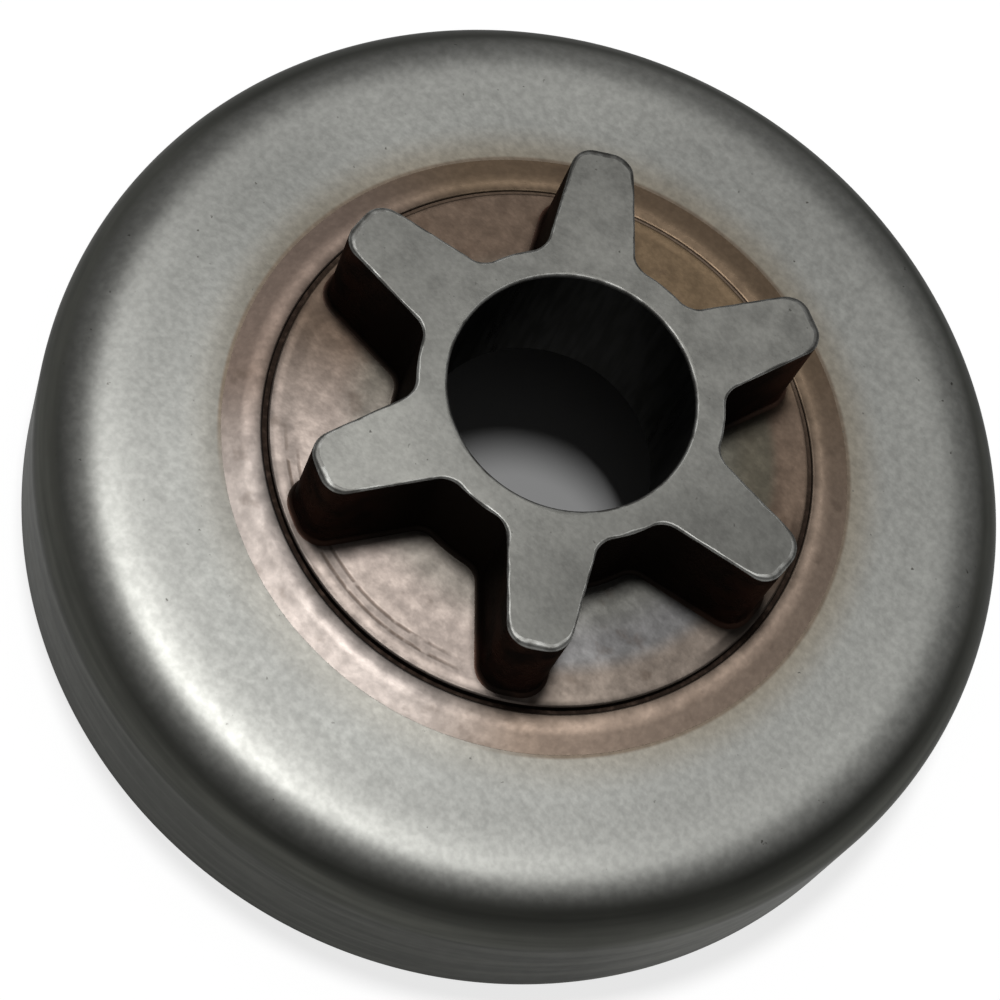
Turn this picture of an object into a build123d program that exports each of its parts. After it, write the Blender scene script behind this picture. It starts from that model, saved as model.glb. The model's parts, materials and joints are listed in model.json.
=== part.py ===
"""Clutch drum with a six tooth spur sprocket, from a small chainsaw.

A drawn steel cup stands on its open rim. A spur sprocket comes up through the hole in the cup's web, bears
on the web from inside and is held by a ring of copper braze round its flange. The three are one rigid piece.

Millimetres. The origin is the centre of the rim plane, and +Z runs along the axis towards the teeth.
"""

import os
from math import radians, tan

from build123d import *

# Drum, a cup drawn from steel sheet
drum_diameter = 53.0
drum_height = 10.8
sheet_thickness = 1.5
corner_radius = 3.3
rim_break = 0.25

# Sprocket teeth
tooth_count = 6
tooth_length = 6.9
tip_diameter = 28.2
root_diameter = 16.2
tooth_tip_width = 3.1
flank_angle = 7.6
tip_corner_round = 1.25
root_round = 1.3
foot_round = 0.25
tooth_edge_break = 0.15

# Sprocket body, turned in steps to fit the hole in the web
bore_diameter = 13.0
bore_lead_in = 0.6
flange_margin = 0.55
flange_rise = 0.7
flange_edge_round = 0.2
land_recess = 0.5
shoulder_overlap = 1.45
shoulder_thickness = 0.8
shoulder_edge_round = 0.3
braze_gap = 0.05

# Ring of braze on the web, round the flange
groove_width = 0.4
ring_width = 2.0
ring_rise = 0.42
ring_crest_width = 0.65
ring_edge_height = 0.1
ring_crest_round = 0.12

# Radii that follow from the sizes above
drum_radius = drum_diameter / 2
bore_radius = bore_diameter / 2
tip_radius = tip_diameter / 2
root_radius = root_diameter / 2
flange_radius = tip_radius + flange_margin
web_hole_radius = flange_radius + groove_width
land_radius = web_hole_radius - braze_gap
shoulder_radius = web_hole_radius + shoulder_overlap
ring_crest_radius = web_hole_radius + ring_crest_width
ring_radius = web_hole_radius + ring_width

# Levels that follow from the sizes above
web_inside = drum_height - sheet_thickness
shoulder_bottom = web_inside - shoulder_thickness
land_top = drum_height - land_recess
flange_top = drum_height + flange_rise
ring_top = drum_height + ring_rise

os.makedirs("parts", exist_ok=True)

# The cup is one sheet of even thickness, bent from the web round into the friction wall.
with BuildPart() as clutch_drum:
    with BuildSketch(Plane.XZ):
        with BuildLine():
            FilletPolyline(
                (web_hole_radius, drum_height),
                (drum_radius, drum_height),
                (drum_radius, 0),
                radius=corner_radius,
            )
            offset(amount=sheet_thickness, side=Side.RIGHT)
        make_face()
    revolve(axis=Axis.Z)
    chamfer(clutch_drum.edges().group_by(Axis.Z)[0], length=rim_break)

# The sprocket is a turned blank with tapered teeth standing on its flange, and a plain bore that takes a
# needle cage. Its land fills the hole in the web, and its shoulder bears on the web from inside.
with BuildPart() as spur_sprocket:
    with BuildSketch(Plane.XZ):
        with BuildLine():
            Polyline(
                (0, shoulder_bottom),
                (shoulder_radius, shoulder_bottom),
                (shoulder_radius, web_inside),
                (land_radius, web_inside),
                (land_radius, land_top),
                (flange_radius, land_top),
                (flange_radius, flange_top),
                (0, flange_top),
                close=True,
            )
        make_face()
    revolve(axis=Axis.Z)
    fillet(spur_sprocket.edges().group_by(Axis.Z)[-1], radius=flange_edge_round)
    fillet(spur_sprocket.edges().group_by(Axis.Z)[0], radius=shoulder_edge_round)
    with BuildSketch(Plane.XY.offset(flange_top)) as tooth_outline:
        taper = tan(radians(flank_angle))
        tooth_reach = tip_radius + tip_corner_round
        reach_half_width = tooth_tip_width / 2 - tip_corner_round * taper
        axis_half_width = tooth_tip_width / 2 + tip_radius * taper
        Circle(root_radius)
        with PolarLocations(0, tooth_count):
            Polygon(
                (0, -axis_half_width),
                (tooth_reach, -reach_half_width),
                (tooth_reach, reach_half_width),
                (0, axis_half_width),
                align=None,
            )
        Circle(tip_radius, mode=Mode.INTERSECT)
        fillet(tooth_outline.vertices().group_by(SortBy.DISTANCE)[-1], radius=tip_corner_round)
        fillet(tooth_outline.vertices().group_by(SortBy.DISTANCE)[0], radius=root_round)
    extrude(amount=tooth_length)
    floor_edges = spur_sprocket.edges().filter_by_position(Axis.Z, flange_top, flange_top)
    fillet(floor_edges.sort_by(SortBy.LENGTH)[:-1], radius=foot_round)
    Hole(bore_radius)
    fillet(spur_sprocket.faces().sort_by(Axis.Z)[-1].edges(), radius=tooth_edge_break)
    underside_circles = spur_sprocket.edges().filter_by(GeomType.CIRCLE).group_by(Axis.Z)[0]
    chamfer(underside_circles.sort_by(SortBy.RADIUS)[0], length=bore_lead_in)

# The braze lies on the web as a ring: a narrow flat crest beside the flange, then a face that slopes
# down to a thin outer edge. A fine groove is left open between the ring and the flange.
with BuildPart() as braze_ring:
    with BuildSketch(Plane.XZ) as ring_section:
        with BuildLine():
            Polyline(
                (web_hole_radius, drum_height),
                (ring_radius, drum_height),
                (ring_radius, drum_height + ring_edge_height),
                (ring_crest_radius, ring_top),
                (web_hole_radius, ring_top),
                close=True,
            )
        make_face()
        fillet(ring_section.vertices().group_by(Axis.Y)[-1], radius=ring_crest_round)
    revolve(axis=Axis.Z)

for piece, name in (
    (clutch_drum, "clutch_drum"),
    (spur_sprocket, "spur_sprocket"),
    (braze_ring, "braze_ring"),
):
    piece.part.label = name
    export_step(piece.part, f"parts/{name}.step")
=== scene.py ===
import json
import math

import bmesh
import bpy
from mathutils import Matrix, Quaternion, Vector, noise


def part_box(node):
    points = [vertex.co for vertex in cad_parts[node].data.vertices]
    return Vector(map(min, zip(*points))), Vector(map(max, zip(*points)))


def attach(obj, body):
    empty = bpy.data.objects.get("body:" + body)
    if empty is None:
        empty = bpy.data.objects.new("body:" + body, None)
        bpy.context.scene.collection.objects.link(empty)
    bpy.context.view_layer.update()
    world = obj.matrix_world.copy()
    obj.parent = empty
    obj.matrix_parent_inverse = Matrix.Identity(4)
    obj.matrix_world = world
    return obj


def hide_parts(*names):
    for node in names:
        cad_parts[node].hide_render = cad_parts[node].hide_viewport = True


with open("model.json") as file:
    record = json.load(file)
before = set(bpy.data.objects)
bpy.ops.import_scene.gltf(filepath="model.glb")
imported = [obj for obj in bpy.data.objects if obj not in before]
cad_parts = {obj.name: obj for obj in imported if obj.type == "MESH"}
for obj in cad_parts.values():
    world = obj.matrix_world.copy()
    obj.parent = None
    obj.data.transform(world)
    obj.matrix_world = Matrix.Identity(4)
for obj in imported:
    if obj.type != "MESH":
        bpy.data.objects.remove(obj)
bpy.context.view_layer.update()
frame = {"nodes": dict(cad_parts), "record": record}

# Clutch drum
# A cup drawn from one steel sheet, standing on its open rim with the web up. The web is satin grey, the die
# has burnished the start of the bend, the end of the bend and the wall are painted dark as painted shade
# for the dark room they reflect, and the friction wall inside is turned.
MM = 0.001
mounts = {mount["name"]: mount for mount in frame["record"]["mounts"]}
drum_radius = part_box("clutch_drum")[1].x
web_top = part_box("clutch_drum")[1].z
friction_radius = mounts["friction_wall"]["dims"]["r_mm"] * MM
hole_radius = min(vertex.co.xy.length for vertex in frame["nodes"]["clutch_drum"].data.vertices)
ring_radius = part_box("braze_ring")[1].x
sheet = drum_radius - friction_radius
rim_break = 0.25 * MM
web_inside = web_top - sheet
inner_bend = 1.8 * MM
inner_bend_start = friction_radius - inner_bend
bend_radius = 3.3 * MM
bend_start = drum_radius - bend_radius
bend_onset = 0.42 * MM
web_flat_end = bend_start - 2.5 * MM
flat_margin = 0.05 * MM
sharp_angle = math.radians(32)

# How the web's tone drifts: a bearing, where the drift starts and ends along it in millimetres, and the
# tones at its start and end
web_shades = (
    (182, 14.0, 21.5, 1.03, 0.85),
    (310, 16.0, 21.5, 1.00, 0.89),
    (22, 12.0, 21.0, 1.00, 1.12),
    (138, 16.0, 21.5, 1.00, 1.14),
)

WEB_GREY = (0.221, 0.222, 0.208, 1)
WEB_SPECK = (0.080, 0.078, 0.070, 1)
HEAT_TAN = (0.190, 0.172, 0.140, 1)
BRAZE_FRINGE = (0.125, 0.100, 0.076, 1)
WALL_PAINTED_SHADE = (0.052, 0.053, 0.047, 1)
WALL_PAINTED_SHADE_STREAK = (0.076, 0.077, 0.068, 1)
TURNED_STEEL = (0.240, 0.240, 0.230, 1)
TURNED_SHADE = (0.160, 0.158, 0.150, 1)


# The sockets of a mix node that take and give colours
mix_first = 6
mix_second = 7
mix_result = 2


def wired(tree, kind, sockets=None, **settings):
    """A new node. Each value in sockets is set on its socket, or linked to it if it is another's output."""
    node = tree.nodes.new(kind)
    for key, value in settings.items():
        setattr(node, key, value)
    for key, value in (sockets or {}).items():
        if isinstance(value, bpy.types.NodeSocket):
            tree.links.new(value, node.inputs[key])
        else:
            node.inputs[key].default_value = value
    return node


class Finish:
    """A metal finish in the making: its material, its shader and what its nodes are mixed from."""

    def __init__(self, name, metallic=1.0, grazing=0.5):
        self.material = bpy.data.materials.new(name)
        self.material.use_nodes = True
        self.tree = self.material.node_tree
        self.shader = self.tree.nodes["Principled BSDF"]
        self.shader.inputs["Metallic"].default_value = metallic
        self.shader.inputs["Specular Tint"].default_value = (grazing, grazing, grazing, 1)
        metres = self.add("ShaderNodeTexCoord").outputs["Object"]
        scaled = self.add("ShaderNodeVectorMath", {0: metres, "Scale": 1 / MM}, operation="SCALE")
        self.place = scaled.outputs["Vector"]
        level = self.add("ShaderNodeVectorMath", {0: self.place, 1: (1, 1, 0)}, operation="MULTIPLY")
        length = self.add("ShaderNodeVectorMath", {0: level.outputs["Vector"]}, operation="LENGTH")
        self.radius = length.outputs["Value"]
        self.height = self.add("ShaderNodeSeparateXYZ", {0: self.place}).outputs["Z"]

    def add(self, kind, sockets=None, **settings):
        """A new node of this finish."""
        return wired(self.tree, kind, sockets, **settings)

    def clouds(self, size, stretch=(1, 1, 1), detail=3.0, shift=0.0):
        """Soft random patches of about that size in millimetres, from 0 to 1."""
        squeezed = self.add("ShaderNodeVectorMath", {0: self.place, 1: stretch}, operation="MULTIPLY")
        moved = self.add("ShaderNodeVectorMath", {0: squeezed.outputs["Vector"], 1: (shift, shift, shift)})
        sockets = {"Vector": moved.outputs["Vector"], "Scale": 1 / size, "Detail": detail}
        return self.add("ShaderNodeTexNoise", sockets).outputs["Fac"]

    def between(self, value, low, high):
        """0 where value is at low and 1 where it is at high, with a soft step from one to the other."""
        sockets = {"Value": value, "From Min": low, "From Max": high}
        return self.add("ShaderNodeMapRange", sockets, interpolation_type="SMOOTHSTEP").outputs["Result"]

    def contrast(self, clouds, low=0.30, high=0.70):
        """Clouds lie mostly between low and high. This spreads them over the full span from 0 to 1."""
        return self.between(clouds, low, high)

    def spread(self, value, low, high):
        """Takes a share from 0 to 1 to the span from low to high."""
        sockets = {"Value": value, "To Min": low, "To Max": high}
        return self.add("ShaderNodeMapRange", sockets).outputs["Result"]

    def towards(self, bearing):
        """How far a place lies from the axis towards that bearing in degrees, in millimetres."""
        way = (math.cos(math.radians(bearing)), math.sin(math.radians(bearing)), 0)
        along = self.add("ShaderNodeVectorMath", {0: self.place, 1: way}, operation="DOT_PRODUCT")
        return along.outputs["Value"]

    def beside(self, bearing, near, far):
        """1 within near degrees of that bearing round the axis, and 0 beyond far degrees."""
        facing = self.maths("DIVIDE", self.towards(bearing), self.radius)
        return self.between(facing, math.cos(math.radians(far)), math.cos(math.radians(near)))

    def maths(self, operation, first, second):
        """One sum on two numbers."""
        return self.add("ShaderNodeMath", {0: first, 1: second}, operation=operation).outputs["Value"]

    def times(self, first, second):
        """Two numbers multiplied. Of two shares, that is the share that lies in both."""
        return self.maths("MULTIPLY", first, second)

    def mix(self, share, first, second):
        """The first colour where share is 0 and the second where it is 1."""
        sockets = {"Factor": share, mix_first: first, mix_second: second}
        return self.add("ShaderNodeMix", sockets, data_type="RGBA").outputs[mix_result]

    def tone(self, colour, share, low, high):
        """The colour, darkened or brightened by a factor that share takes from low to high."""
        sockets = {"Factor": 1.0, mix_first: colour, mix_second: self.spread(share, low, high)}
        toned = self.add("ShaderNodeMix", sockets, data_type="RGBA", blend_type="MULTIPLY")
        return toned.outputs[mix_result]

    def openness(self, reach):
        """How open a place is within a reach in millimetres, from 0 deep in a corner to 1 in the open."""
        return self.add("ShaderNodeAmbientOcclusion", {"Distance": reach * MM}, samples=8).outputs["AO"]

    def lay(self, colour, roughness, relief, depth, strength=1.0):
        """Links the colour, the roughness and a relief of that depth in millimetres to the shader."""
        sockets = {"Height": relief, "Distance": depth * MM, "Strength": strength}
        bump = self.add("ShaderNodeBump", sockets)
        self.tree.links.new(colour, self.shader.inputs["Base Color"])
        self.tree.links.new(roughness, self.shader.inputs["Roughness"])
        self.tree.links.new(bump.outputs["Normal"], self.shader.inputs["Normal"])
        return self.material


def drum_outside_finish():
    """Satin web, cloudy and tanned by the heat beside the braze, then a burnished bend, and a wall painted
    dark as painted shade.
    """
    steel = Finish("drum_outside", grazing=0.57)
    bloom = steel.clouds(0.9, detail=4)
    drift = steel.clouds(9.0, shift=20)
    speckle = steel.clouds(0.40, detail=3, shift=40)
    streak = steel.clouds(0.9, stretch=(0.06, 0.06, 1.0), detail=2, shift=60)
    braze_edge = ring_radius / MM
    bend_edge = bend_start / MM
    tan_reach = steel.between(steel.radius, braze_edge + 2.4, braze_edge)
    tan_side = steel.spread(steel.between(steel.towards(260), 0, 18), 1.0, 0.35)
    web = steel.mix(steel.times(tan_reach, tan_side), WEB_GREY, HEAT_TAN)
    by_ring = steel.between(steel.radius, braze_edge + 1.4, braze_edge + 0.3)
    # Beside the ring: painted shade to the left and painted light on the near side.
    web = steel.tone(web, steel.times(by_ring, steel.beside(205, 22, 50)), 1.00, 0.80)
    web = steel.tone(web, steel.times(by_ring, steel.beside(270, 12, 32)), 1.00, 1.16)
    fringe = steel.between(steel.radius, braze_edge + 0.26, braze_edge + 0.06)
    fringe = steel.times(fringe, steel.spread(steel.beside(262, 25, 50), 1.0, 0.0))
    web = steel.mix(fringe, web, BRAZE_FRINGE)
    flatness = steel.between(steel.radius, bend_edge - 0.4, bend_edge - 2.8)
    mottle = steel.maths("SUBTRACT", steel.contrast(bloom), 0.5)
    mottle = steel.maths("ADD", steel.times(mottle, steel.spread(flatness, 0.5, 1.0)), 0.5)
    web = steel.tone(web, mottle, 0.94, 1.06)
    web = steel.tone(web, steel.contrast(speckle), 0.91, 1.09)
    web = steel.tone(web, steel.contrast(drift), 0.95, 1.05)
    for bearing, start, end, here, there in web_shades:
        web = steel.tone(web, steel.between(steel.towards(bearing), start, end), here, there)
    web = steel.mix(steel.between(steel.clouds(0.55, shift=80), 0.71, 0.77), web, WEB_SPECK)
    burnish = steel.between(steel.radius, bend_edge - 2.6, bend_edge - 0.2)
    web = steel.tone(web, burnish, 1.00, 1.12)
    # The end of the bend and the wall take a dark colour: painted shade for the dark room they reflect, with
    # streaks.
    wall_shade_colour = steel.mix(steel.between(streak, 0.40, 0.68), WALL_PAINTED_SHADE, WALL_PAINTED_SHADE_STREAK)
    lines = steel.clouds(0.24, stretch=(0.03, 0.03, 1.0), detail=2, shift=100)
    wall_shade_colour = steel.tone(wall_shade_colour, steel.contrast(lines), 0.95, 1.05)
    # A lighter patch high on the wall to the right: painted reflected light.
    painted_wall_light = steel.times(steel.between(steel.height, 9.5, 7.7), steel.beside(347, 14, 34))
    wall_shade_colour = steel.tone(wall_shade_colour, painted_wall_light, 1.00, 1.70)
    # On the near-left side, where the highlight lies, the painted shade starts further out.
    late_shade_side = steel.between(steel.towards(235), 5.0, 22.0)
    wall_shade_reach = steel.maths("SUBTRACT", steel.radius, steel.times(late_shade_side, 0.5))
    wall_shade_share = steel.between(wall_shade_reach, bend_edge + 0.9, bend_edge + 2.0)
    colour = steel.mix(wall_shade_share, web, wall_shade_colour)
    roughness = steel.spread(mottle, 0.46, 0.52)
    roughness = steel.maths("SUBTRACT", roughness, steel.times(burnish, 0.035))
    relief = steel.maths("ADD", bloom, steel.times(speckle, 0.5))
    return steel.lay(colour, roughness, relief, 0.009, steel.spread(flatness, 0.5, 1.0))


def drum_inside_finish():
    """Turned friction wall, with fine rings left by the tool."""
    steel = Finish("drum_inside")
    rings = steel.clouds(0.22, stretch=(0.04, 0.04, 1.0))
    bloom = steel.clouds(1.6, shift=30)
    colour = steel.mix(steel.between(bloom, 0.35, 0.65), TURNED_SHADE, TURNED_STEEL)
    return steel.lay(colour, steel.spread(rings, 0.30, 0.55), rings, 0.02)


def straight(start, end):
    """A straight stretch of a section. A point close to each end keeps its shading flat beside a round."""
    share = flat_margin / math.dist(start, end)
    return [
        (start[0] + (end[0] - start[0]) * t, start[1] + (end[1] - start[1]) * t)
        for t in (0, share, 1 - share, 1)
    ]


def rounded(centre, radius, start, end, steps):
    """The points of a round between two straight stretches, without its ends. Angles are in degrees."""
    angles = [math.radians(start + (end - start) * k / steps) for k in range(1, steps)]
    return [(centre[0] + radius * math.cos(a), centre[1] + radius * math.sin(a)) for a in angles]


def drawn_bend(steps=48):
    """The section of the bend, from the web to the top of the wall. It sets in softly, as drawn sheet does
    over the die, and is then round."""
    points = []
    height = web_top
    last_tilt = 0
    last_fall = bend_onset
    for k in range(1, steps + 1):
        tilt = math.pi / 2 * (k / steps) ** 2
        rise = bend_radius * math.sin(tilt) / bend_onset
        fall = bend_onset * rise / (1 - math.exp(-rise))
        height -= (fall + last_fall) / 2 * (tilt - last_tilt)
        points.append((bend_start + bend_onset * math.log(math.exp(rise) - 1), height))
        last_tilt = tilt
        last_fall = fall
    return points


def turned(material, section, steps=384):
    """A stretch of a turned piece: its material, and the ring that each point of the section sweeps."""
    angles = [math.tau * k / steps for k in range(steps)]
    return material, [[(r * math.cos(a), r * math.sin(a), z) for a in angles] for r, z in section]


def skin(name, stretches):
    """A closed mesh through stretches of rings. Each ring is joined to the next and the last to the first,
    and the faces after a ring have the material of its stretch."""
    rings = [ring for material, stretch in stretches for ring in stretch]
    finishes = list(dict.fromkeys(material for material, stretch in stretches))
    places = [finishes.index(material) for material, stretch in stretches for ring in stretch]
    around = len(rings[0])
    faces = []
    for k in range(len(rings)):
        here = k * around
        there = (k + 1) % len(rings) * around
        for i in range(around):
            j = (i + 1) % around
            faces.append((here + i, here + j, there + j, there + i))
    mesh = bpy.data.meshes.new(name)
    mesh.from_pydata([point for ring in rings for point in ring], [], faces)
    for material in finishes:
        mesh.materials.append(material)
    mesh.polygons.foreach_set("material_index", [place for place in places for i in range(around)])
    shell = bmesh.new()
    shell.from_mesh(mesh)
    bmesh.ops.recalc_face_normals(shell, faces=shell.faces)
    shell.to_mesh(mesh)
    shell.free()
    mesh.shade_smooth()
    mesh.set_sharp_from_angle(angle=sharp_angle)
    piece = bpy.data.objects.new(name, mesh)
    bpy.context.collection.objects.link(piece)
    return piece


drum_outside = drum_outside_finish()
drum_inside = drum_inside_finish()
bend = drawn_bend()
wall_top = bend[-1][1]
drum = skin("drum_cup", [
    turned(drum_outside, straight((hole_radius, web_top), (web_flat_end, web_top))),
    turned(drum_outside, bend[:-1]),
    turned(drum_outside, straight((drum_radius, wall_top), (drum_radius, rim_break))),
    turned(drum_inside, straight((drum_radius - rim_break, 0), (friction_radius + rim_break, 0))),
    turned(drum_inside, straight((friction_radius, rim_break), (friction_radius, web_inside - inner_bend))),
    turned(drum_inside, rounded((inner_bend_start, web_inside - inner_bend), inner_bend, 0, 90, 16)),
    turned(drum_inside, straight((inner_bend_start, web_inside), (hole_radius, web_inside))),
])
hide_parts("clutch_drum")
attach(drum, "root")

# Spur sprocket
# Six tapered teeth on a round flange, one piece of hardened steel with a plain bore. Their tops are ground
# grey, their walls have a furnace skin painted near black, partly as painted shade, and copper from the
# brazing has washed over the flange.
bore_radius = mounts["bore"]["dims"]["r_mm"] * MM
tooth_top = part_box("spur_sprocket")[1].z
shoulder_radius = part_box("spur_sprocket")[1].x
shoulder_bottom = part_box("spur_sprocket")[0].z
tooth_count = 6
tooth_length = 6.9 * MM
tip_radius = 14.1 * MM
root_radius = 8.1 * MM
tip_half_width = 1.55 * MM
flank_angle = math.radians(7.6)
tip_corner_round = 1.25 * MM
root_round = 1.3 * MM
foot_round = 0.25 * MM
edge_break = 0.15 * MM
bore_lead_in = 0.6 * MM
flange_margin = 0.55 * MM
flange_radius = tip_radius + flange_margin
flange_top = tooth_top - tooth_length
flange_edge_round = 0.12 * MM
braze_gap = 0.05 * MM
land_radius = hole_radius - braze_gap
land_top = web_top + 0.1 * MM
groove_width = 0.25 * MM
residue_low = web_top + 0.20 * MM
residue_high = web_top + 0.37 * MM
residue_bearing = math.radians(105)
shoulder_edge_round = 0.3 * MM
tool_mark_radii = (13.30, 13.85)
wall_levels = (0.06, 0.25, 0.5, 0.75, 0.955)
wear_patch = 0.9 * MM
wear_usual = 0.8
wear_swing = 0.5
wear_tip_start = 0.9
wear_tip_gain = 7

# How the tooth tops' tone drifts, as painted light towards the near left and painted shade to other sides:
# a bearing, where the drift starts and ends along it in millimetres, and the tone at its end
top_painted_light_and_shade = (
    (335, 4.0, 10.5, 0.68),
    (170, 4.0, 10.0, 0.87),
    (245, 5.0, 10.5, 1.38),
)

GROUND_GREY = (0.161, 0.160, 0.148, 1)
GROUND_FLECK = (0.080, 0.078, 0.072, 1)
WORN_EDGE = (0.250, 0.250, 0.237, 1)
WORN_EDGE_DULL = (0.120, 0.118, 0.110, 1)
FURNACE_BROWN = (0.054, 0.029, 0.021, 1)
FURNACE_BLACK_AND_SHADE = (0.020, 0.015, 0.012, 1)
COPPER_PALE_AND_LIGHT = (0.302, 0.254, 0.225, 1)
COPPER_BROWN = (0.103, 0.074, 0.055, 1)
COPPER_YELLOW = (0.124, 0.087, 0.053, 1)
COPPER_DULL = (0.082, 0.073, 0.055, 1)
COPPER_GREY = (0.116, 0.113, 0.112, 1)
COPPER_ROSE = (0.142, 0.117, 0.098, 1)
COPPER_STAIN = (0.060, 0.040, 0.028, 1)
FOOT_SHADE_AND_RESIDUE = (0.012, 0.008, 0.006, 1)
ROOT_GREY = (0.115, 0.113, 0.096, 1)
BORE_STEEL_SHADED = (0.070, 0.070, 0.068, 1)
BORE_SHADE = (0.052, 0.052, 0.050, 1)
GROOVE_RESIDUE_AND_SHADE = (0.016, 0.010, 0.007, 1)
GROOVE_CRUMB = (0.034, 0.022, 0.016, 1)
GROOVE_BROWN = (0.085, 0.060, 0.043, 1)
GROOVE_TAN = (0.125, 0.092, 0.068, 1)


def tooth_top_finish():
    """Ground steel, dulled unevenly: soft clouds, fine grain and a few dark flecks."""
    steel = Finish("tooth_tops_ground")
    clouds = steel.clouds(1.7, detail=4)
    grain = steel.clouds(0.30, detail=2, shift=30)
    colour = steel.tone(GROUND_GREY, steel.contrast(clouds), 0.80, 1.20)
    colour = steel.tone(colour, steel.contrast(grain), 0.93, 1.07)
    # Painted light and shade on the tops, by bearing.
    for bearing, start, end, there in top_painted_light_and_shade:
        colour = steel.tone(colour, steel.between(steel.towards(bearing), start, end), 1.00, there)
    colour = steel.mix(steel.between(steel.clouds(0.35, shift=50), 0.70, 0.78), colour, GROUND_FLECK)
    relief = steel.maths("ADD", clouds, steel.times(grain, 0.4))
    return steel.lay(colour, steel.spread(steel.contrast(clouds), 0.48, 0.57), relief, 0.012)


def worn_edge_finish():
    """The broken edges of the tooth tops, rubbed bright in most places."""
    steel = Finish("tooth_edges_worn")
    wear = steel.clouds(0.9, detail=4)
    colour = steel.mix(steel.between(wear, 0.38, 0.60), WORN_EDGE_DULL, WORN_EDGE)
    colour = steel.tone(colour, steel.between(steel.towards(95), 4.0, 12.0), 1.00, 0.58)
    return steel.lay(colour, steel.spread(wear, 0.56, 0.42), wear, 0.008)


def tooth_wall_finish():
    """Furnace skin, painted near black partly as painted shade, browner in patches towards the tips and
    redder on one tooth.
    """
    steel = Finish("tooth_walls_furnace_and_shade", grazing=0.3)
    patches = steel.clouds(1.8, detail=4)
    grain = steel.clouds(0.25, shift=30)
    tips = steel.between(steel.radius, root_radius / MM + 1.0, tip_radius / MM)
    brown = steel.times(steel.between(patches, 0.30, 0.66), tips)
    # The near black is partly furnace skin and partly painted shade.
    colour = steel.mix(brown, FURNACE_BLACK_AND_SHADE, FURNACE_BROWN)
    reddened = steel.times(tips, steel.beside(46, 12, 26))
    colour = steel.tone(colour, reddened, 1.00, 2.20)
    return steel.lay(colour, steel.spread(grain, 0.45, 0.62), grain, 0.012)


def flange_floor_finish():
    """Copper washed over steel: yellower and greyer by turns, paler on the near-left side partly as painted
    light, grey at the roots, dark at the feet of the teeth as painted shade with some residue, with a
    painted shadow at one tooth's tip and painted shade on the near edge, and two broken rings left by the
    turning tool."""
    copper = Finish("flange_floor_copper", metallic=0.95)
    clouds = copper.clouds(0.9, detail=4)
    flecks = copper.clouds(0.30, detail=2, shift=30)
    stains = copper.clouds(1.5, detail=3, shift=60)
    colour = copper.mix(copper.beside(88, 18, 40), COPPER_BROWN, COPPER_YELLOW)
    dull_side = copper.beside(32, 20, 42)
    dulled = copper.times(dull_side, copper.between(copper.radius, 13.1, 12.3))
    colour = copper.mix(dulled, colour, COPPER_DULL)
    # Paler copper on the near-left side: partly its own tint, partly painted light.
    colour = copper.mix(copper.beside(258, 27, 67), colour, COPPER_PALE_AND_LIGHT)
    greyed = copper.mix(copper.between(copper.radius, 12.0, 13.2), COPPER_GREY, COPPER_ROSE)
    colour = copper.mix(copper.beside(334, 24, 36), colour, greyed)
    colour = copper.tone(colour, copper.beside(312, 5, 16), 1.00, 1.30)
    root_reach = copper.between(copper.radius, root_radius / MM + 3.4, root_radius / MM + 1.2)
    colour = copper.mix(copper.times(root_reach, 0.6), colour, ROOT_GREY)
    rim = copper.between(copper.radius, 13.0, 13.5)
    lip = copper.between(copper.radius, 13.9, 14.15)
    brink = copper.between(copper.radius, 14.25, 14.55)
    dull_rim = copper.times(copper.maths("SUBTRACT", rim, lip), copper.beside(240, 45, 65))
    colour = copper.tone(colour, dull_rim, 1.00, 0.74)
    colour = copper.tone(colour, copper.times(rim, dull_side), 1.00, 1.18)
    # A lighter lip on the near side: painted light.
    colour = copper.tone(colour, copper.times(lip, copper.beside(272, 22, 45)), 1.00, 1.12)
    # A dark strip at the rim beside one tooth's tip: painted shadow of that tooth.
    colour = copper.tone(colour, copper.times(lip, copper.beside(5, 12, 25)), 1.00, 0.45)
    colour = copper.tone(colour, copper.times(lip, copper.beside(88, 18, 38)), 1.00, 1.25)
    # The very edge of the flange darkened on the near side: painted shade.
    colour = copper.tone(colour, copper.times(brink, copper.beside(260, 60, 90)), 1.00, 0.50)
    colour = copper.tone(colour, copper.contrast(clouds), 0.89, 1.11)
    colour = copper.tone(colour, copper.between(flecks, 0.35, 0.70), 0.94, 1.08)
    stained = copper.times(copper.between(stains, 0.58, 0.72), 0.35)
    colour = copper.mix(stained, colour, COPPER_STAIN)
    track = copper.maths("ADD", copper.radius, copper.times(copper.clouds(5.0, shift=90), 0.3))
    marks = None
    for mark_radius in tool_mark_radii:
        gap = copper.maths("ABSOLUTE", copper.maths("SUBTRACT", track, mark_radius), 0)
        mark = copper.between(gap, 0.15, 0.02)
        marks = mark if marks is None else copper.maths("MAXIMUM", marks, mark)
    marked_side = copper.spread(copper.between(copper.towards(255), 10.5, 12.5), 0.00, 0.68)
    broken = copper.between(copper.clouds(0.9, detail=2, shift=110), 0.33, 0.50)
    marks = copper.times(copper.times(marks, marked_side), broken)
    colour = copper.mix(marks, colour, COPPER_STAIN)
    # Dark in the corners at the feet of the teeth, by how open the place is: painted shade with some
    # residue.
    colour = copper.mix(copper.between(copper.openness(0.9), 0.48, 0.90), FOOT_SHADE_AND_RESIDUE, colour)
    relief = copper.maths("ADD", clouds, copper.times(flecks, 0.5))
    relief = copper.maths("SUBTRACT", relief, copper.times(marks, 0.8))
    return copper.lay(colour, copper.spread(copper.contrast(clouds), 0.53, 0.46), relief, 0.010)


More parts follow.
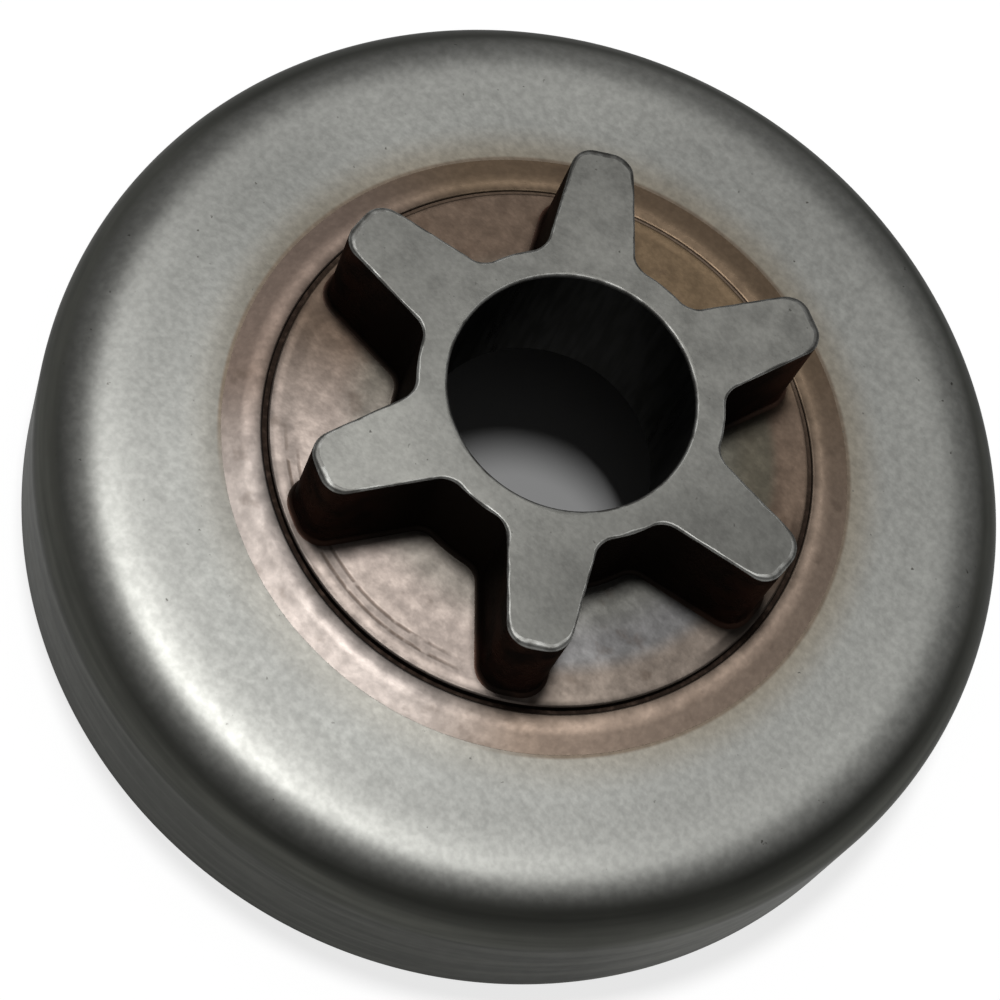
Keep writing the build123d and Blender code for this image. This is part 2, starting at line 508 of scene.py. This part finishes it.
def bore_finish():
    """Bore wall painted dark as painted shade, with faint marks along it from the broach."""
    steel = Finish("bore_wall", grazing=0.3)
    lines = steel.clouds(0.35, stretch=(1.0, 1.0, 0.1))
    # Both tones are painted dark: painted shade in the bore.
    colour = steel.mix(steel.between(lines, 0.35, 0.65), BORE_SHADE, BORE_STEEL_SHADED)
    return steel.lay(colour, steel.spread(lines, 0.41, 0.48), lines, 0.004)


def groove_finish():
    """Flux residue in the groove and on the steel beside it: painted near black, partly as painted shade of
    the crevice, brown to one side.
    """
    steel = Finish("groove_residue_and_shade", metallic=0.8, grazing=0.3)
    crumbs = steel.clouds(0.4, detail=4)
    # The near black is partly residue and partly painted shade of the crevice.
    colour = steel.mix(steel.between(crumbs, 0.45, 0.75), GROOVE_RESIDUE_AND_SHADE, GROOVE_CRUMB)
    colour = steel.mix(steel.beside(105, 30, 85), colour, GROOVE_BROWN)
    colour = steel.mix(steel.beside(88, 18, 38), colour, GROOVE_TAN)
    return steel.lay(colour, steel.spread(crumbs, 0.7, 0.5), crumbs, 0.03)


def half_tooth():
    """The outline from the middle of a tooth's tip to the middle of the next root, as points with the
    directions that face out of the steel there."""
    away = Vector((math.sin(flank_angle), math.cos(flank_angle)))
    along = Vector((math.cos(flank_angle), -math.sin(flank_angle)))
    reach = tip_half_width * math.cos(flank_angle) + tip_radius * math.sin(flank_angle)
    corner_reach = reach - tip_corner_round
    root_reach = reach + root_round
    corner_out = math.sqrt((tip_radius - tip_corner_round) ** 2 - corner_reach ** 2)
    root_out = math.sqrt((root_radius + root_round) ** 2 - root_reach ** 2)
    corner = away * corner_reach + along * corner_out
    root = away * root_reach + along * root_out
    tip_turn = math.atan2(corner.y, corner.x)
    flank_turn = math.pi / 2 - flank_angle
    root_turn = math.atan2(root.y, root.x)

    def swing(start, end, steps):
        turns = [start + (end - start) * k / steps for k in range(steps)]
        return [Vector((math.cos(turn), math.sin(turn))) for turn in turns]

    flank_end = root - away * root_round
    flank_start = corner + away * tip_corner_round
    outline = [(facing * tip_radius, facing) for facing in swing(0, tip_turn, 4)]
    outline += [(corner + facing * tip_corner_round, facing) for facing in swing(tip_turn, flank_turn, 12)]
    outline += [(flank_start.lerp(flank_end, k / 10), away) for k in range(10)]
    outline += [(root - facing * root_round, facing) for facing in swing(flank_turn, root_turn, 12)]
    outline += [(facing * root_radius, facing) for facing in swing(root_turn, math.pi / tooth_count, 4)]
    return outline


def tooth_outline():
    """The outline of all the teeth and roots, once round."""
    half = half_tooth()
    root_middle = Vector((math.cos(math.pi / tooth_count), -math.sin(math.pi / tooth_count)))
    mirrored = [(Vector((p.x, -p.y)), Vector((d.x, -d.y))) for p, d in reversed(half[1:])]
    one = [(root_middle * root_radius, root_middle)] + mirrored + half
    outline = []
    for k in range(tooth_count):
        turn = Quaternion((0, 0, 1), math.tau * k / tooth_count)
        outline += [((turn @ p.to_3d()).xy, (turn @ d.to_3d()).xy) for p, d in one]
    return outline


outline = tooth_outline()
tip_wear = [max(0, point.length / tip_radius - wear_tip_start) * wear_tip_gain for point, facing in outline]
edge_wear = [
    wear_usual + wear_swing * noise.noise(point.to_3d() / wear_patch) + more
    for (point, facing), more in zip(outline, tip_wear)
]


def teeth(offset, height):
    """A ring along the tooth outline, moved out of the steel by offset."""
    return [(*(point + facing * offset), height) for point, facing in outline]


def circle(radius, height):
    """A ring round the axis, with its points on the same rays as the tooth outline's."""
    return [(*(point.normalized() * radius), height) for point, facing in outline]


def residue(radius):
    """A ring on the flux residue in the groove, which lies higher to one side."""
    ring = []
    for x, y, height in circle(radius, residue_low):
        share = (1 + math.cos(math.atan2(y, x) - residue_bearing)) / 2
        ring.append((x, y, height + (residue_high - residue_low) * share))
    return ring


def across(first, second, shares=(0.02, 0.25, 0.5, 0.75, 0.98)):
    """Rings between two rings, so that a flat face has even quads and flat shading."""
    return [[Vector(a).lerp(b, share)[:] for a, b in zip(first, second)] for share in shares]


def round_steps(steps, falling=False):
    """Pairs of sine and cosine over a quarter turn, for the rings of a round."""
    turns = [math.pi / 2 * k / steps for k in range(steps + 1)]
    if falling:
        turns.reverse()
    return [(math.sin(turn), math.cos(turn)) for turn in turns]


def worn_teeth(rise, run):
    """A ring on the broken edge of the tooth tops, whose width wanders with the wear."""
    ring = []
    for (point, facing), wear in zip(outline, edge_wear):
        broken = edge_break * wear
        ring.append((*(point - facing * broken * (1 - run)), tooth_top - broken * (1 - rise)))
    return ring


tooth_tops = tooth_top_finish()
tooth_edges = worn_edge_finish()
tooth_walls = tooth_wall_finish()
flange_floor = flange_floor_finish()
bore_wall = bore_finish()
groove = groove_finish()

floor_outer = circle(flange_radius - flange_edge_round, flange_top)
floor_inner = teeth(foot_round, flange_top)
top_outer = worn_teeth(1, 0)
top_inner = circle(bore_radius + edge_break, tooth_top)
sprocket = skin("toothed_spur", [
    (tooth_walls, [
        circle(bore_radius + bore_lead_in, shoulder_bottom),
        *across(
            circle(bore_radius + bore_lead_in, shoulder_bottom),
            circle(shoulder_radius - shoulder_edge_round, shoulder_bottom),
        ),
    ]),
    (tooth_walls, [
        circle(
            shoulder_radius - shoulder_edge_round * (1 - rise),
            shoulder_bottom + shoulder_edge_round * (1 - run),
        )
        for rise, run in round_steps(5)
    ]),
    (groove, [
        circle(shoulder_radius, web_inside),
        circle(land_radius, web_inside),
        circle(land_radius, land_top),
        circle(flange_radius + groove_width, land_top),
        residue(flange_radius + groove_width),
        residue(flange_radius),
    ]),
    (flange_floor, [
        circle(
            flange_radius - flange_edge_round * (1 - run),
            flange_top - flange_edge_round * (1 - rise),
        )
        for rise, run in round_steps(5)
    ]),
    (flange_floor, across(floor_outer, floor_inner)),
    (tooth_walls, [
        teeth(foot_round * (1 - run), flange_top + foot_round * (1 - rise))
        for rise, run in round_steps(5, falling=True)
    ]),
    (tooth_walls, [teeth(0, flange_top + tooth_length * level) for level in wall_levels]),
    (tooth_edges, [worn_teeth(rise, run) for rise, run in round_steps(4)]),
    (tooth_tops, across(top_outer, top_inner)),
    (tooth_edges, [
        circle(bore_radius + edge_break * (1 - run), tooth_top - edge_break * (1 - rise))
        for rise, run in round_steps(4, falling=True)
    ]),
    (bore_wall, [
        circle(bore_radius, tooth_top - edge_break - flat_margin),
        circle(bore_radius, shoulder_bottom + bore_lead_in + flat_margin),
        circle(bore_radius, shoulder_bottom + bore_lead_in),
    ]),
])
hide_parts("spur_sprocket")
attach(sprocket, "root")

# Braze ring
# Copper braze that ran round the flange and set on the web: a low crest, then a face that slopes to a thin
# edge. It is dull brown copper, painted paler on one side as painted highlight, and its edge wanders a
# little as it froze.
ring_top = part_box("braze_ring")[1].z
ring_inner_radius = flange_radius + groove_width
ring_crest_radius = ring_inner_radius + 0.58 * MM
ring_crest_round = 0.14 * MM
ring_edge_height = 0.02 * MM
ring_soft_share = 0.40
ring_steps = 720
ring_tuck = 0.01 * MM
ring_under = land_top + 0.02 * MM
edge_wander = 0.06 * MM
edge_waves = 6
edge_ripples = 17
crest_wander = 0.03 * MM
crest_waves = 4
crest_shift = Vector((5, 5, 5))

BRAZE_PAINTED_HIGHLIGHT = (0.460, 0.402, 0.367, 1)
BRAZE_TAN = (0.345, 0.264, 0.208, 1)
BRAZE_ROSE = (0.255, 0.193, 0.158, 1)
BRAZE_BROWN = (0.235, 0.168, 0.112, 1)
BRAZE_STAIN = (0.110, 0.078, 0.056, 1)


def braze_finish():
    """Dull copper, cloudy and finely flecked, paler to one side as painted highlight, and dark by the groove
    with residue and painted shade.
    """
    copper = Finish("braze_copper", metallic=0.95)
    clouds = copper.clouds(1.1, detail=4)
    flecks = copper.clouds(0.34, detail=2, shift=30)
    stains = copper.clouds(1.4, detail=3, shift=60)
    colour = copper.mix(copper.between(copper.towards(338), 0.0, 14.0), BRAZE_BROWN, BRAZE_TAN)
    colour = copper.mix(copper.beside(205, 30, 65), colour, BRAZE_ROSE)
    # Paler on the near-left side: painted highlight.
    colour = copper.mix(copper.beside(256, 18, 50), colour, BRAZE_PAINTED_HIGHLIGHT)
    colour = copper.tone(colour, copper.contrast(clouds), 0.90, 1.10)
    colour = copper.tone(colour, copper.between(flecks, 0.35, 0.70), 0.94, 1.09)
    stained = copper.times(copper.between(stains, 0.58, 0.72), 0.3)
    colour = copper.mix(stained, colour, BRAZE_STAIN)
    crest_edge = ring_crest_radius / MM
    crest = copper.between(copper.radius, crest_edge + 0.6, crest_edge)
    colour = copper.tone(colour, crest, 1.00, 0.70)
    # Darker by the groove: residue and painted shade of the crevice, except on the far side.
    groove_side = copper.between(copper.radius, crest_edge + 0.04, ring_inner_radius / MM)
    residue_and_shade_share = copper.spread(copper.beside(88, 18, 38), 1.0, 0.0)
    colour = copper.tone(colour, copper.times(groove_side, residue_and_shade_share), 1.00, 0.35)
    # Painted shade on the near-left crest, holding down its glints.
    painted_shade_band = copper.between(copper.radius, crest_edge + 0.65, crest_edge + 0.2)
    colour = copper.tone(colour, copper.times(painted_shade_band, copper.beside(264, 25, 48)), 1.00, 0.66)
    # A pale band further out on the near-left: painted highlight.
    painted_highlight_band = copper.between(copper.radius, crest_edge + 0.7, crest_edge + 1.2)
    colour = copper.tone(colour, copper.times(painted_highlight_band, copper.beside(262, 10, 26)), 1.00, 1.22)
    relief = copper.maths("ADD", clouds, copper.times(flecks, 0.5))
    return copper.lay(colour, copper.spread(copper.contrast(clouds), 0.54, 0.47), relief, 0.010)


def settled(steps=24):
    """The face of the braze: it leaves the crest softly and runs straight down to a thin edge."""
    drop = ring_top - web_top - ring_edge_height
    steepness = 1 / (1 - ring_soft_share / 2)
    points = []
    for k in range(1, steps + 1):
        share = k / steps
        fallen = steepness * (share - ring_soft_share / 2)
        if share < ring_soft_share:
            fallen = steepness * share ** 2 / ring_soft_share / 2
        radius = ring_crest_radius + (ring_radius - ring_crest_radius) * share
        points.append((radius, ring_top - drop * fallen))
    return points


def wandering(section):
    """The rings of the braze. Its edge creeps in and its crest sinks, by amounts that drift round it."""
    rings = []
    for r, z in section:
        ring = []
        outness = max(0, (r - hole_radius) / (ring_radius - hole_radius))
        highness = max(0, (z - web_top) / (ring_top - web_top))
        for k in range(ring_steps):
            ray = Vector((math.cos(math.tau * k / ring_steps), math.sin(math.tau * k / ring_steps), 0))
            creep = 0.5 + 0.35 * noise.noise(ray * edge_waves) + 0.15 * noise.noise(ray * edge_ripples)
            sink = 0.5 + 0.5 * noise.noise(ray * crest_waves + crest_shift)
            place = ray * (r - edge_wander * creep * outness)
            ring.append((place.x, place.y, z - crest_wander * sink * highness))
        rings.append(ring)
    return rings


ring_foot_radius = hole_radius - ring_tuck
inner_round = (ring_inner_radius + ring_crest_round, ring_top - ring_crest_round)
ring_section = (
    [(ring_inner_radius, ring_under), (ring_inner_radius, ring_top - ring_crest_round)]
    + rounded(inner_round, ring_crest_round, 180, 90, 8)
    + straight((ring_inner_radius + ring_crest_round, ring_top), (ring_crest_radius, ring_top))
    + settled()
    + [(ring_radius, web_top), (ring_foot_radius, web_top), (ring_foot_radius, ring_under)]
)
braze = skin("braze_collar", [(braze_finish(), wandering(ring_section))])
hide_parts("braze_ring")
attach(braze, "root")

# Floor
# A plain table top that the drum stands on, wide enough to fill every view. It looks white to the camera and
# in reflections round the drum, and stays a plain grey inside the cup, where only the bore lets light in.
floor_half = 2.0
TABLE_GREY = (0.33, 0.33, 0.33, 1)
table_lift = 0.75
table_roughness = 0.9

table = bpy.data.materials.new("table_white")
table.use_nodes = True
table_tree = table.node_tree
table_shader = table_tree.nodes["Principled BSDF"]
table_shader.inputs["Base Color"].default_value = TABLE_GREY
table_shader.inputs["Roughness"].default_value = table_roughness
table_shader.inputs["Specular IOR Level"].default_value = 0.0
table_shader.inputs["Emission Color"].default_value = (1, 1, 1, 1)
table_place = wired(table_tree, "ShaderNodeTexCoord").outputs["Object"]
from_axis = wired(table_tree, "ShaderNodeVectorMath", {0: table_place}, operation="LENGTH").outputs["Value"]
ray = wired(table_tree, "ShaderNodeLightPath")
lift = wired(table_tree, "ShaderNodeMath", {0: from_axis, 1: friction_radius}, operation="GREATER_THAN")
seen = ray.outputs["Is Camera Ray"]
for kind in ("Is Glossy Ray", "Is Transmission Ray"):
    either = wired(table_tree, "ShaderNodeMath", {0: seen, 1: ray.outputs[kind]}, operation="MAXIMUM")
    seen = either.outputs["Value"]
for share in (seen, table_lift):
    sockets = {0: lift.outputs["Value"], 1: share}
    lift = wired(table_tree, "ShaderNodeMath", sockets, operation="MULTIPLY")
table_tree.links.new(lift.outputs["Value"], table_shader.inputs["Emission Strength"])

floor_mesh = bpy.data.meshes.new("table_top")
floor_corners = [(-1, -1), (1, -1), (1, 1), (-1, 1)]
floor_mesh.from_pydata([(x * floor_half, y * floor_half, 0) for x, y in floor_corners], [], [(0, 1, 2, 3)])
floor_mesh.materials.append(table)
floor = bpy.data.objects.new("table_top", floor_mesh)
bpy.context.collection.objects.link(floor)

# Lights
# One soft lamp almost overhead, leaning a little to the left and away, in a dim grey room, paler low down.
lamp_distance = 0.60
lamp_lean = math.radians(8.1)
lamp_bearing = math.radians(149)
lamp_across = 0.10
lamp_level = 0.66
room_blend_top = 0.6
ROOM_HIGH = (0.18, 0.18, 0.18, 1)
ROOM_LOW = (0.28, 0.28, 0.28, 1)

lamp_data = bpy.data.lights.new("overhead_lamp", "AREA")
lamp_data.shape = "DISK"
lamp_data.size = lamp_across
lamp_data.energy = lamp_level * (math.pi * lamp_distance) ** 2
lamp = bpy.data.objects.new("overhead_lamp", lamp_data)
lamp_aim = Vector((0, 0, web_top))
lamp_way = Vector((
    math.sin(lamp_lean) * math.cos(lamp_bearing),
    math.sin(lamp_lean) * math.sin(lamp_bearing),
    math.cos(lamp_lean),
))
lamp.location = lamp_aim + lamp_way * lamp_distance
lamp.rotation_mode = "QUATERNION"
lamp.rotation_quaternion = lamp_way.to_track_quat("Z", "Y")
bpy.context.collection.objects.link(lamp)

room = bpy.data.worlds.new("grey_room")
room.use_nodes = True
room_tree = room.node_tree
direction = wired(room_tree, "ShaderNodeTexCoord").outputs["Generated"]
upness = wired(room_tree, "ShaderNodeSeparateXYZ", {0: direction}).outputs["Z"]
sockets = {"Value": upness, "From Min": 0.0, "From Max": room_blend_top}
rise = wired(room_tree, "ShaderNodeMapRange", sockets, interpolation_type="SMOOTHSTEP")
sockets = {"Factor": rise.outputs["Result"], mix_first: ROOM_LOW, mix_second: ROOM_HIGH}
room_grey = wired(room_tree, "ShaderNodeMix", sockets, data_type="RGBA")
room_tree.links.new(room_grey.outputs[mix_result], room_tree.nodes["Background"].inputs["Color"])
bpy.context.scene.world = room

# Camera
# High on the near side, close enough for strong perspective, and rolled so that the drum leans in the frame.
camera_place = Vector((12.543, -74.884, 168.104)) * MM
camera_aim = Vector((0.228, -3.843, 10.8)) * MM
camera_roll = math.radians(30.209)
camera_lens = 118.493
camera_sensor = 36.0
camera_nearest = 0.01

camera_data = bpy.data.cameras.new("camera")
camera_data.sensor_width = camera_sensor
camera_data.lens = camera_lens
camera_data.clip_start = camera_nearest
camera = bpy.data.objects.new("camera", camera_data)
camera.location = camera_place
level_view = (camera_aim - camera_place).to_track_quat("-Z", "Y")
camera.rotation_mode = "QUATERNION"
camera.rotation_quaternion = level_view @ Quaternion((0, 0, 1), camera_roll)
bpy.context.collection.objects.link(camera)
bpy.context.scene.camera = camera
bpy.context.scene.view_settings.view_transform = "Standard"
